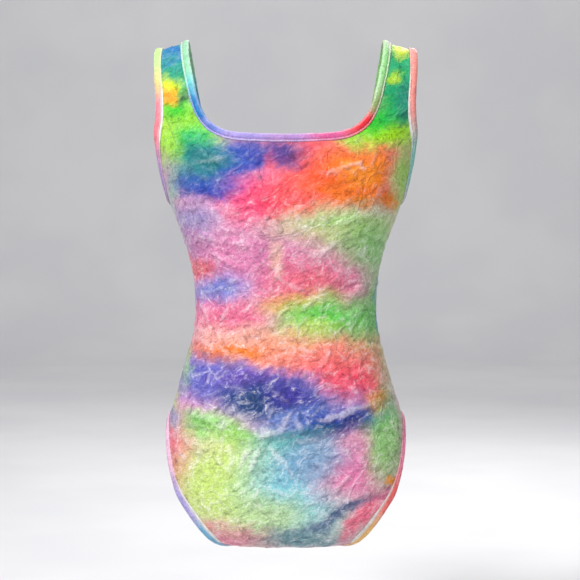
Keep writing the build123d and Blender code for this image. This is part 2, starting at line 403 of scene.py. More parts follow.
def rings(faces):
    """Closed chains of border points, each in order."""
    following = {int(a): int(b) for a, b in border(faces)}
    found = []
    while following:
        start, point = next(iter(following.items()))
        chain = [start]
        del following[start]
        while point != start and point in following:
            chain.append(point)
            point = following.pop(point)
        found.append(chain)
    return found


# ------------ creases in the cloth
# across, up, across, up, width, height: a crease from one place to another, or a valley if the height
# is negative
CREASES = (
    (-129, 372, -26, 359, 3.5, 0.9), (-105, 286, -52, 262, 3.0, 0.7), (-106, 231, -42, 214, 4.5, -1.6),
    (-70, 138, -125, 166, 4.5, 1.2), (-70, 138, -100, 182, 4.0, 1.0), (-70, 138, -62, 176, 4.0, 1.1),
    (-26, 129, -62, 168, 4.5, 1.4), (-26, 129, -10, 176, 4.0, 1.2), (-26, 129, 12, 168, 3.5, 1.0),
    (-26, 129, -44, 92, 3.5, 0.8), (-26, 129, 4, 100, 3.5, 0.8), (0, 126, 107, 160, 5.0, -1.7),
    (96, 160, 131, 171, 4.0, -1.1), (40, 150, 104, 172, 4.0, 1.3), (19, 20, 119, 65, 4.0, -1.3),
    (-94, 60, -50, 48, 3.0, -0.7), (-84, 42, -66, 22, 3.0, -0.8), (35, 440, 100, 458, 4.0, 0.9),
    (42, 426, 112, 436, 4.5, -0.9), (-12, 452, 35, 462, 4.0, -0.7), (84, 372, 124, 352, 4.0, -0.9),
    (60, 384, 118, 398, 3.5, 0.8), (-20, 330, 30, 300, 4.0, 0.8), (30, 345, 74, 372, 3.5, 0.8),
    (-95, 330, -60, 300, 3.5, -0.8), (10, 240, 78, 226, 4.0, 0.8), (-60, 250, 6, 262, 4.0, -0.7),
    (40, 262, 96, 282, 4.0, 0.9), (-118, 450, -60, 462, 4.0, 0.7), (-100, 404, -40, 392, 4.0, 0.7),
    (-132, 120, -108, 96, 4.0, 0.8), (30, 108, 76, 84, 3.5, 0.7), (60, 122, 100, 104, 3.5, 0.7),
    (-40, 80, 10, 62, 3.5, 0.6), (-18, 300, -6, 338, 3.0, 0.6), (60, 200, 112, 214, 4.0, 0.8),
    (-96, 200, -40, 188, 4.0, 0.8), (-30, 224, 40, 200, 4.0, -0.6), (-88, 352, -70, 322, 3.5, 0.6),
)
# across, up, number of creases, length: places where the cloth was scrunched
SCRUNCHES = (
    (-70, 138, 9, 58), (-26, 129, 11, 66), (22, 62, 8, 52), (-58, 88, 8, 46), (80, 96, 8, 46),
    (46, 302, 9, 56), (-48, 322, 9, 58), (-14, 246, 8, 50), (62, 378, 8, 52), (-88, 412, 7, 44),
    (34, 202, 7, 46), (88, 240, 7, 42), (-86, 252, 7, 44), (4, 366, 8, 50), (-96, 190, 6, 40),
    (-110, 100, 6, 36), (60, 140, 8, 44), (96, 440, 6, 36), (-40, 40, 7, 40), (40, 24, 6, 36),
    (-12, 420, 6, 46), (100, 320, 6, 36), (-92, 360, 7, 40), (10, 170, 8, 44),
)
# length, width and height of the three sizes of crushed ridges
CRUSH = ((30.0, 9.0, 0.60), (19.0, 6.5, 0.42), (12.0, 5.2, 0.26))
DEEPEST, HIGHEST = -0.8, 3.2
CALM_EDGE = (8.0, 24.0)  # no relief nearer to an opening than the first, all of it beyond the second
SEAM_FLAT = 9.0
SEAM_DITCH = 0.7


def scrunched():
    """Creases running out from each scrunched place, in uneven directions."""
    pick = np.random.default_rng(5)
    creases = []
    for x, z, count, length in SCRUNCHES:
        for k in range(count):
            turn = 2 * pi * (k + 0.7 * pick.random()) / count
            start, end = 4 + 8 * pick.random(), length * (0.5 + 0.6 * pick.random())
            way = np.array([cos(turn), sin(turn)])
            ends = np.concatenate([(x, z) + start * way, (x, z) + end * way])
            width, height = 1.9 + 1.6 * pick.random(), 0.5 + 0.6 * pick.random()
            creases.append((*ends, width, height * (1 if k % 4 else -0.8)))
    return creases


def crease_height(flat):
    """Height of the creases at points given as (across, up)."""
    total = np.zeros(len(flat))
    wander = np.stack([flat[:, 0], flat[:, 1], flat[:, 0] * 0], axis=1)
    bent = flat + np.stack([noise(wander, 24), noise(wander + 91, 24)], axis=1) * 3.0
    for x0, z0, x1, z1, width, height in CREASES + tuple(scrunched()):
        start, along = np.array([x0, z0], float), np.array([x1 - x0, z1 - z0], float)
        rel = bent - start
        t = rel @ along / (along @ along)
        off = (along[0] * rel[:, 1] - along[1] * rel[:, 0]) / np.hypot(*along) / 1.15
        fade = smooth_step(t, -0.08, 0.18) * (1 - smooth_step(t, 0.72, 1.08))
        ridge = np.exp(-((np.abs(off) / width) ** 1.3))
        hollow = np.exp(-(((off - 2.0 * width) / (1.2 * width)) ** 2))
        total += 1.5 * height * fade * (ridge - 0.4 * hollow)
    return total


def crush_height(p):
    """Shallow random creasing of crushed velvet, in long thin ridges that lean this way and that."""
    total = np.zeros(len(p))
    lean = noise(p, 70.0) * 1.6
    for k, (length, thin, high) in enumerate(CRUSH):
        turn = lean + k * 1.1
        q = np.stack([
            (p[:, 0] * np.cos(turn) + p[:, 2] * np.sin(turn)) / length,
            p[:, 1] / length,
            (-p[:, 0] * np.sin(turn) + p[:, 2] * np.cos(turn)) / thin,
        ], axis=1)
        ridge = 1 - np.abs(noise(q + 17.0 * k, 1.0)) * 2.2
        total += high * np.clip(ridge, -0.4, 1)
    return total * (0.45 + 0.55 * smooth_step(noise(p + 33, 48.0), -0.5, 0.5))


def relief(p, is_front):
    """How far the cloth stands out from its smooth shape, nothing near the openings."""
    height = crush_height(p)
    if is_front:
        height += crease_height(p[:, [0, 2]])
    else:  # the same creases on the back, mirrored, spread and weaker
        height += crease_height(np.stack([-p[:, 0] * 0.9 + 12, p[:, 2] * 0.96 + 6], axis=1)) * 0.8
    edge = np.maximum(np.maximum(neck_field(p), arm_field(p)), leg_field(p))
    calm = smooth_step(-edge, *CALM_EDGE)
    seam = smooth_step(np.abs(behind_field(p)), 0.0, SEAM_FLAT)
    above_lining = smooth_step(p[:, 2], LINING_TOP_Z - 6, LINING_TOP_Z + 20)
    height = np.maximum(np.minimum(height, HIGHEST) * calm * seam, DEEPEST * above_lining)
    return height - SEAM_DITCH * (1 - seam) * above_lining


# ------------ making objects
def new_object(name, points, faces, materials):
    """A smooth object from points in metres."""
    mesh = bpy.data.meshes.new(name)
    mesh.from_pydata(points, [], faces)
    mesh.validate()
    for material in materials:
        mesh.materials.append(material)
    mesh.polygons.foreach_set("use_smooth", [True] * len(mesh.polygons))
    made = bpy.data.objects.new(name, mesh)
    bpy.context.scene.collection.objects.link(made)
    return made


def add_piece(name, points, faces, materials):
    """A piece of the leotard from points in millimetres."""
    points = (np.asarray(points, float) * MM).tolist()
    piece = new_object(name, points, [list(map(int, face)) for face in faces], materials)
    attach(piece, "root")
    return piece


def make_cloth(name, clears, cuts, lift, materials):
    """A closed piece of cloth between two clearances: outer face, inner face and cut edge."""
    outer, inner = (body_grid(clear, CELL) for clear in clears)
    normals = surface_normals(outer)
    points = np.concatenate([outer.reshape(-1, 3), inner.reshape(-1, 3), normals.reshape(-1, 3)], axis=1)
    faces = grid_faces(*outer.shape[:2])
    for cut in cuts:
        points, faces = clip(points, faces, cut(points[:, :3]))
    height = lift(points[:, :3])
    rise = height[:, None] * points[:, 6:9]
    top, bottom = points[:, :3] + rise, points[:, 3:6] + rise * 0.9
    count = len(points)
    edge = border(faces)
    rim = np.concatenate([
        np.stack([edge[:, 0], edge[:, 0] + count, edge[:, 1] + count], axis=1),
        np.stack([edge[:, 0], edge[:, 1] + count, edge[:, 1]], axis=1),
    ])
    all_faces = np.concatenate([faces, faces[:, ::-1] + count, rim])
    piece = add_piece(name, np.concatenate([top, bottom]), all_faces, materials)
    index = np.zeros(len(piece.data.polygons), np.int32)
    index[len(faces):2 * len(faces)] = len(materials) - 1
    piece.data.polygons.foreach_set("material_index", index)
    # relief heights kept on the points; the velvet paints highlights on the ridges and shade in the
    # valleys from them
    relief_for_painted_light = piece.data.attributes.new("crease", "FLOAT", "POINT")
    relief_for_painted_light.data.foreach_set("value", np.concatenate([height, height]).astype(np.float32))
    return piece


def open_cuts(inside):
    """The neck, arm and leg openings, with the cloth ending a little inside the folded edges."""
    return [lambda p, field=field: field(p) + inside for field in (neck_field, arm_field, leg_field)]


def make_label(material):
    """The care label: a thin satin tab, sewn in along one edge and gently curled."""
    rows, columns = LABEL_GRID
    length, tall = LABEL_SIZE
    points = []
    for side in (LABEL_HALF_THICKNESS, -LABEL_HALF_THICKNESS):
        for i in range(rows):
            for j in range(columns):
                u, v = j / (columns - 1), i / (rows - 1)
                reach = LABEL_IN_SEAM + length * u
                curl = 1.5 * u * u + 0.5 * sin(v * pi) * u + 0.12 * sin(v * 40) * (1 - u)
                x = LABEL_WAIST - 0.4 - sin(LABEL_LEAN) * reach + curl * 0.6 + side
                y = 0.5 + cos(LABEL_LEAN) * reach
                points.append((x, y, LABEL_Z + (v - 0.5) * tall * (1 - 0.01 * u)))
    faces = []
    size = rows * columns
    for i in range(rows - 1):
        for j in range(columns - 1):
            a = i * columns + j
            corners = (a, a + 1, a + 1 + columns, a + columns)
            faces += [corners, tuple(size + corner for corner in (corners[0], *corners[:0:-1]))]
    edge = [*range(columns), *range(2 * columns - 1, size, columns)]
    edge += [*range(size - 2, size - columns - 1, -1), *range(size - 2 * columns, 0, -columns)]
    for a, b in zip(edge, edge[1:] + edge[:1]):
        faces.append((a, a + size, b + size, b))
    return add_piece("care_label_satin", points, faces, [material])


def evenly(chain, spacing):
    """A closed chain of points, resampled to an even spacing and smoothed."""
    ring = closed(chain)
    knots = lengths_along(ring)
    at = np.linspace(0, knots[-1], int(knots[-1] / spacing), endpoint=False)
    return smoothed(straight_between(knots, ring, at), RING_SMOOTHING)


class Surface:
    """The worn body as something that points can be laid on."""

    def __init__(self, cell):
        grid = body_grid(0.0, cell)
        self.points = grid.reshape(-1, 3)
        self.normals = surface_normals(grid).reshape(-1, 3)
        self.faces = grid_faces(*grid.shape[:2])
        self.tree = BVHTree.FromPolygons(self.points.tolist(), self.faces.tolist())

    def lay(self, points):
        """The nearest place on the body to each point, and its outward normal."""
        places, normals = np.zeros_like(points), np.zeros_like(points)
        for i, point in enumerate(points):
            place, _, face, _ = self.tree.find_nearest(point)
            corners = self.faces[face]
            a, b, c = self.points[corners] - np.array(place)
            weights = np.linalg.norm([np.cross(b, c), np.cross(c, a), np.cross(a, b)], axis=1)
            normal = weights @ self.normals[corners]
            places[i], normals[i] = place, normal / (np.linalg.norm(normal) + 1e-12)
        return places, normals


def opening_rings(surface, field):
    """The edges of an opening on the body, as rings with the directions that point into the cloth."""
    points, faces = clip(surface.points, surface.faces, field(surface.points))
    found = []
    for chain in rings(faces):
        ring = points[chain]
        if len(chain) < SHORTEST_RING or abs(np.median(field(ring))) > 0.5:
            continue
        ring, normal = surface.lay(evenly(ring, BINDING_STEP))
        along = np.roll(ring, -1, axis=0) - np.roll(ring, 1, axis=0)
        along /= np.linalg.norm(along, axis=1, keepdims=True)
        inward = np.cross(normal, along)
        if field(ring + inward * 4).mean() > 0:
            inward = -inward
        found.append((ring, inward))
    return found


def ring_strip(surface, ring, inward, section):
    """Points of a section carried round a ring, lying on the body."""
    rows = []
    for distance, height in section:
        place, normal = surface.lay(ring + inward * distance)
        rows.append(place + normal * height)
    return smoothed(np.stack(rows, axis=1), 2)


def make_binding(name, surface, ring, inward, materials):
    """A folded velvet strip round an opening, slightly uneven where the stitches pull it in."""
    rows = ring_strip(surface, ring, inward, BINDING_SECTION)
    count, width = rows.shape[:2]
    crown = rows[:, FOLD_TOP]
    swell = noise(crown + 50, 9.0) * 0.16 + noise(crown + 7, 3.6) * 0.07
    middle = rows.mean(axis=1, keepdims=True)
    rows = middle + (rows - middle) * (1 + swell[:, None, None] * 0.35)
    i, j = np.meshgrid(np.arange(count), np.arange(width), indexing="ij")
    here, there = i * width, (i + 1) % count * width
    after = (j + 1) % width
    faces = np.stack([here + j, here + after, there + after, there + j], axis=-1).reshape(-1, 4)
    piece = add_piece(name, rows.reshape(-1, 3), faces, materials)
    # the strips of painted sheen get the second material
    is_sheen = np.any([(low <= j) & (j < high) for low, high in SHEEN_STRIPS], axis=0)
    piece.data.polygons.foreach_set("material_index", is_sheen.reshape(-1).astype(np.int32))
    return piece


def make_stitches(name, surface, ring, inward, material):
    """The row of separate topstitches in a binding's groove."""
    line = ring_strip(surface, ring, inward, (STITCH_AT, (STITCH_AT[0], STITCH_AT[1] + 1)))
    path, up = closed(line[:, 0]), closed(line[:, 1] - line[:, 0])
    knots = lengths_along(path)
    total = knots[-1]
    count = int(total / STITCH_PITCH)
    points, faces = [], []
    for k in range(count):
        base = len(points)
        for share, thick, lift in STITCH_PROFILE:
            at = np.clip((k + 0.5) * total / count + share * STITCH_LENGTH, 0, total)
            here, normal = (straight_between(knots, rows, at) for rows in (path, up))
            side = np.cross(normal, straight_between(knots, path, min(at + 1, total)) - here)
            side /= np.linalg.norm(side) + 1e-9
            for step in range(STITCH_SIDES):
                turn = step * 2 * pi / STITCH_SIDES
                out = side * cos(turn) + normal * sin(turn)
                points.append(here + normal * lift + out * STITCH_RADIUS * thick)
        first = [base + s for s in range(STITCH_SIDES)]
        for a in range(base, len(points) - STITCH_SIDES, STITCH_SIDES):
            for s in range(STITCH_SIDES):
                t = (s + 1) % STITCH_SIDES
                faces.append((a + s, a + t, a + t + STITCH_SIDES, a + s + STITCH_SIDES))
        faces += [first[::-1], list(range(len(points) - STITCH_SIDES, len(points)))]
    return add_piece(name, points, faces, [material])


# ------------ materials
def linear(colour):
    """An ordinary screen colour, 0xRRGGBB, as the light values that shaders use."""
    parts = []
    for shift in (16, 8, 0):
        value = (colour >> shift & 255) / 255
        parts.append(value / 12.92 if value <= 0.04045 else ((value + 0.055) / 1.055) ** 2.4)
    return (*parts, 1.0)


class Nodes:
    """A node material under construction."""

    def __init__(self, name):
        self.material = bpy.data.materials.new(name)
        self.material.use_nodes = True
        self.tree = self.material.node_tree
        self.tree.nodes.clear()
        self.output = self.tree.nodes.new("ShaderNodeOutputMaterial")
        self.shader = self.tree.nodes.new("ShaderNodeBsdfPrincipled")
        self.link(self.shader.outputs[0], self.output.inputs["Surface"])

    def link(self, source, target):
        self.tree.links.new(source, target)

    def plug(self, node, socket, value):
        """A link if value is a socket, otherwise a plain setting."""
        if isinstance(value, bpy.types.NodeSocket):
            self.link(value, node.inputs[socket])
        else:
            node.inputs[socket].default_value = value

    def add(self, kind, sockets, **settings):
        """A node with its settings, and a value or a link for each socket named."""
        node = self.tree.nodes.new(kind)
        for key, value in settings.items():
            setattr(node, key, value)
        for socket, value in sockets.items():
            self.plug(node, socket, value)
        return node

    def position(self):
        return self.add("ShaderNodeNewGeometry", {}).outputs["Position"]

    def math(self, operation, a, b, clamp=False):
        return self.add("ShaderNodeMath", {0: a, 1: b}, operation=operation, use_clamp=clamp).outputs[0]

    def vector(self, operation, a, b):
        sockets = {0: a, "Scale" if operation == "SCALE" else 1: b}
        return self.add("ShaderNodeVectorMath", sockets, operation=operation).outputs["Vector"]

    def noise(self, where, scale, detail=3.0, rough=0.55, distort=0.0, colour=False):
        sockets = {"Vector": where, "Scale": scale, "Detail": detail, "Roughness": rough}
        node = self.add("ShaderNodeTexNoise", {**sockets, "Distortion": distort})
        return node.outputs["Color" if colour else "Fac"]

    def pushed(self, where, by, *noise_settings):
        """Coordinates moved by noise, by about half the given distance each way."""
        cloud = self.noise(*noise_settings, colour=True)
        offset = self.vector("SUBTRACT", cloud, (0.5, 0.5, 0.5))
        return self.vector("ADD", where, self.vector("SCALE", offset, by))

    def cells(self, where, scale, feature):
        node = self.add("ShaderNodeTexVoronoi", {"Vector": where, "Scale": scale}, feature=feature)
        return node.outputs["Distance"]

    def stretched(self, where, turn, ratio):
        """Coordinates squeezed one way, so that a noise in them becomes streaks."""
        turned = self.add("ShaderNodeMapping", {"Vector": where, "Rotation": (0.0, turn, 0.0)})
        squeeze = {"Vector": turned.outputs[0], "Scale": (1.0, 1.0, ratio)}
        return self.add("ShaderNodeMapping", squeeze).outputs[0]

    def between(self, value, low, high, start=0.0, end=1.0, smooth=True):
        """A value carried from one range to another."""
        sockets = {"Value": value, "From Min": low, "From Max": high, "To Min": start, "To Max": end}
        kind = "SMOOTHSTEP" if smooth else "LINEAR"
        return self.add("ShaderNodeMapRange", sockets, interpolation_type=kind).outputs["Result"]

    def mix(self, amount, a, b, blend="MIX"):
        settings = {"data_type": "RGBA", "blend_type": blend, "clamp_factor": True}
        node = self.add("ShaderNodeMix", {"Factor": amount, "A": a, "B": b}, **settings)
        return [out for out in node.outputs if out.type == "RGBA"][0]

    def splashed(self, colour, where, x, z, length, height, dye, strength=1.0, tilt=0.0):
        """A colour with one oval splash of dye laid over it, strongest in its middle."""
        node = self.add("ShaderNodeTexGradient", {"Vector": where}, gradient_type="SPHERICAL")
        node.texture_mapping.vector_type = "TEXTURE"
        node.texture_mapping.translation = (x * MM, 0.0, z * MM)
        node.texture_mapping.rotation = (0, radians(-tilt), 0)
        node.texture_mapping.scale = (length * MM * BLEED, 10.0, height * MM * BLEED)
        amount = self.between(node.outputs["Fac"], 0.0, 0.84, 0.0, strength)
        return self.mix(amount, colour, linear(dye))

    def bands(self, where, direction, scale, distortion):
        sockets = {"Vector": where, "Scale": scale, "Distortion": distortion}
        settings = {"wave_type": "BANDS", "bands_direction": direction}
        return self.add("ShaderNodeTexWave", sockets, **settings).outputs["Fac"]

    def speckled(self, colour, grain, low, high, darkest, brightest):
        """A colour made a little darker and brighter by a fine grain."""
        return self.vector("SCALE", colour, self.between(grain, low, high, darkest, brightest, False))

    def bump(self, height, distance, strength, below=None):
        sockets = {"Height": height, "Distance": distance, "Strength": strength}
        if below is not None:
            sockets["Normal"] = below
        return self.add("ShaderNodeBump", sockets).outputs[0]

    def finish(self, **settings):
        """The finished material, with the shader's sockets set, spaces written as underscores."""
        for socket, value in settings.items():
            self.plug(self.shader, socket.replace("_", " "), value)
        return self.material


# splashes of dye, the later ones on top: across, up, half length, half height, colour, and where they
# aren't 1 and 0 also strength and tilt in degrees
FRONT_DYE = (
    (10, 470, 110, 22, 0xF67C7C), (-130, 570, 30, 70, 0x289678), (131, 560, 30, 70, 0x28AC6E),
    (-128, 506, 26, 26, 0x96D654), (112, 500, 34, 24, 0x78CE54), (-60, 458, 60, 24, 0x3C6EA0, 0.9),
    (-40, 200, 90, 30, 0x8C82C4, 0.8), (0, 60, 110, 60, 0xBED8AA, 0.8), (-118, 486, 44, 40, 0x96D654),
    (-132, 500, 16, 30, 0xC4E86E, 0.9), (-128, 524, 16, 22, 0x5CC850), (-128, 580, 22, 18, 0x2270B0),
    (-128, 560, 18, 12, 0x149670), (-140, 546, 14, 10, 0xD6E454), (-139, 533, 14, 9, 0xFAA642),
    (-115, 530, 10, 7, 0x1A542C, 0.9), (-114, 590, 9, 9, 0x96E8AA, 0.9),
    (-104, 480, 26, 16, 0x3AB85C, 0.9), (-96, 462, 26, 18, 0x10827E),
    (-52, 460, 40, 19, 0x2C4CA6, 1, 4), (-2, 462, 32, 14, 0x4E3684),
    (-19, 452, 9, 14, 0xF0707C, 0.6, 10), (24, 456, 30, 9, 0x342E76, 1, -24),
    (-82, 428, 46, 15, 0x4658AC, 1, -4), (-112, 440, 20, 16, 0x468296, 0.8),
    (-52, 420, 24, 8, 0x8C5CAC, 0.7), (-20, 412, 50, 26, 0xF86C8A), (36, 424, 50, 30, 0xFF7870, 0.9),
    (86, 440, 46, 26, 0xFF9646, 1, 4), (40, 444, 30, 14, 0xFF7868, 0.8, -14),
    (84, 418, 30, 9, 0xFA7832, 0.9, -10), (124, 412, 10, 12, 0xF67C32, 0.9),
    (112, 486, 44, 16, 0xACE04E, 1, -4), (104, 502, 24, 14, 0x46C454, 0.9, 30),
    (131, 545, 20, 40, 0x14A46C), (137, 587, 12, 10, 0xD6E25E), (124, 552, 8, 10, 0xC0DE54, 0.8),
    (143, 520, 12, 22, 0x008874, 0.8), (142, 430, 13, 40, 0xA6CE74), (66, 376, 74, 26, 0xB2D88C, 1, 6),
    (30, 372, 34, 10, 0xD6DC96, 0.6), (100, 352, 30, 22, 0x96D082, 0.8), (-108, 384, 26, 24, 0xA696C2),
    (-112, 350, 20, 20, 0x8C7EAA, 0.9), (-136, 416, 8, 24, 0x96BEB0, 0.8), (-30, 342, 80, 32, 0xE292B8),
    (-90, 426, 36, 10, 0x4054AA, 0.8, -4), (-66, 452, 22, 10, 0x2C4CA6, 0.7),
    (-88, 460, 24, 14, 0x107676, 0.9), (-2, 457, 24, 10, 0x5C3A82, 0.8, -10),
    (24, 312, 50, 28, 0xF0808E, 0.9), (-12, 344, 8, 18, 0xF0DEB0, 0.45),
    (-106, 328, 18, 12, 0xF07A7C, 0.8), (-84, 302, 36, 17, 0x7888CC, 0.9, 22),
    (10, 288, 44, 14, 0xFAB864, 0.7), (50, 268, 64, 26, 0x76CE68), (30, 258, 34, 12, 0xCED66E, 0.6),
    (36, 244, 42, 12, 0x96C87C, 0.6), (80, 242, 30, 18, 0x8CB874, 0.7),
    (110, 256, 20, 90, 0x7ECE78, 0.8), (112, 280, 6, 30, 0x528ECA, 0.9),
    (-66, 272, 44, 18, 0xF0829C, 0.9), (-40, 248, 60, 16, 0xF6BEA6, 0.8),
    (-2, 230, 92, 20, 0xF89E84, 0.9), (-74, 232, 42, 8, 0xF88A42, 0.9, 4),
    (52, 216, 50, 20, 0xFA8C86, 0.9), (74, 196, 34, 20, 0xFA7482), (-88, 200, 46, 24, 0x707AC4, 1, -10),
    (-30, 194, 60, 18, 0x7058AE, 1, -6), (16, 166, 64, 26, 0x6086C4, 0.9),
    (-40, 178, 36, 18, 0x0E3C76, 1, 10), (6, 184, 34, 12, 0x483E96, 0.9, -8),
    (56, 152, 58, 15, 0x2E3E9C, 1, 6), (40, 136, 46, 12, 0x18547A, 0.9, 8),
    (98, 160, 22, 9, 0x3E489E, 0.9, 12), (72, 140, 34, 9, 0x424284, 0.8, 14),
    (-6, 136, 24, 12, 0x4C948C, 0.8), (106, 174, 13, 12, 0xE07A42, 0.8),
    (-94, 142, 34, 16, 0x70CE6E, 0.9), (-54, 132, 24, 13, 0x48BE4C, 0.9),
    (-16, 112, 36, 24, 0x3CAA9E, 0.8), (-131, 105, 18, 42, 0xF06898), (-70, 76, 60, 58, 0xCCE488),
    (16, 72, 56, 56, 0x8CC8D6), (-16, 44, 40, 24, 0xC4DE96, 0.7), (84, 90, 42, 36, 0xE48CB2),
    (32, 106, 34, 20, 0x7CA0C2, 0.8), (120, 128, 24, 44, 0x82D070, 0.8), (128, 84, 7, 7, 0xFCA240, 0.8),
    (69, 42, 56, 6, 0x2C4A7C, 0.8, 24), (-68, 12, 40, 14, 0xF09CB2, 0.9),
    (20, 10, 50, 10, 0x5A8C96, 0.8), (-117, 38, 34, 7, 0xF8986C, 0.9, -53),
    (96, 38, 40, 9, 0xF4829A, 0.9, 45), (-116, 222, 7, 30, 0xAACE8C, 0.7),
    (-134, 166, 10, 24, 0xBED67E, 0.8), (-132, 150, 9, 13, 0x988EC0, 0.8),
)
BACK_DYE = (
    (-60, 440, 60, 40, 0xFF806E, 1, 10), (60, 420, 60, 44, 0xB0E060), (-128, 540, 26, 44, 0x28AA6E),
    (128, 545, 26, 44, 0xF07896), (0, 372, 90, 34, 0x4254B0, 1, -6), (-90, 350, 34, 40, 0xE88CBE),
    (88, 340, 40, 36, 0xFAB460), (0, 300, 80, 32, 0xE28EBE, 1, 8), (-70, 262, 44, 22, 0x70D676),
    (60, 262, 46, 22, 0xF49682, 1, -12), (0, 216, 90, 22, 0xF6CEB0, 0.9, 4),
    (-60, 176, 56, 24, 0x3A46A0, 1, 12), (64, 172, 56, 22, 0x845AB4, 1, -6),
    (-80, 100, 66, 54, 0x90D0D6), (76, 96, 66, 54, 0xCCE48A), (0, 120, 34, 40, 0x3CBE78, 0.9),
    (-110, 60, 30, 40, 0xF26E9C, 0.9), (120, 60, 26, 36, 0xEC90C0, 0.9), (0, 40, 70, 30, 0x9696D6, 0.9),
    (-30, 456, 30, 12, 0xFA963C, 0.9),
)
# the same list for the bindings, by place on the garment
TRIM_DYE = (
    (-114, 575, 16, 50, 0x96CEA8), (-108, 540, 14, 18, 0x78C8C8), (-102, 516, 18, 22, 0x407EB8),
    (-84, 492, 26, 12, 0x687CC0), (-40, 484, 36, 14, 0xA092CC), (14, 484, 34, 14, 0xAA88BE),
    (54, 486, 24, 14, 0xD6709C), (90, 500, 20, 20, 0xE85C62), (102, 528, 12, 14, 0x8E965C),
    (112, 570, 14, 40, 0x96CC8C), (-152, 580, 16, 28, 0xBEE296), (-152, 545, 14, 16, 0xE2D68C),
    (-152, 495, 16, 40, 0xF096A0), (-148, 430, 18, 34, 0xA892BA), (154, 550, 16, 80, 0xEE9E96),
    (153, 450, 18, 40, 0x8CC4B8), (-143, 130, 20, 60, 0xECBED6), (-120, 50, 30, 26, 0xA8A0D0, 1, -50),
    (-92, 10, 30, 20, 0x82B8D6), (143, 120, 20, 60, 0xEC96B0), (128, 56, 26, 30, 0xF0807C),
    (96, 10, 30, 26, 0xF0C482),
)
BLEED = 1.77  # how far past its stated size a splash fades out
# tints of the painted highlight and the painted shade in the velvet's colour
PAINTED_HIGHLIGHT_TINT = 0xFCF4FA
PAINTED_SHADE_TINT = 0x807898


def dyed(nodes, where, base, splashes, spread):
    """The colours of a tie-dyed cloth: splashes of dye that bleed unevenly into each other.

    The cloth is looked up a little off its place, by up to 21 mm in large swirls and 9 mm in feathers.
    """
    moved = nodes.pushed(where, 0.042 * spread, where, 15.0, 3.0, 0.6)
    moved = nodes.pushed(moved, 0.018 * spread, nodes.stretched(where, 0.5, 2.6), 60.0, 5.0, 0.65, 0.8)
    colour = linear(base)
    for splash in splashes:
        colour = nodes.splashed(colour, moved, *splash)
    deeper = {"Saturation": 1.14, "Value": 0.88, "Color": colour}
    return nodes.add("ShaderNodeHueSaturation", deeper).outputs[0]


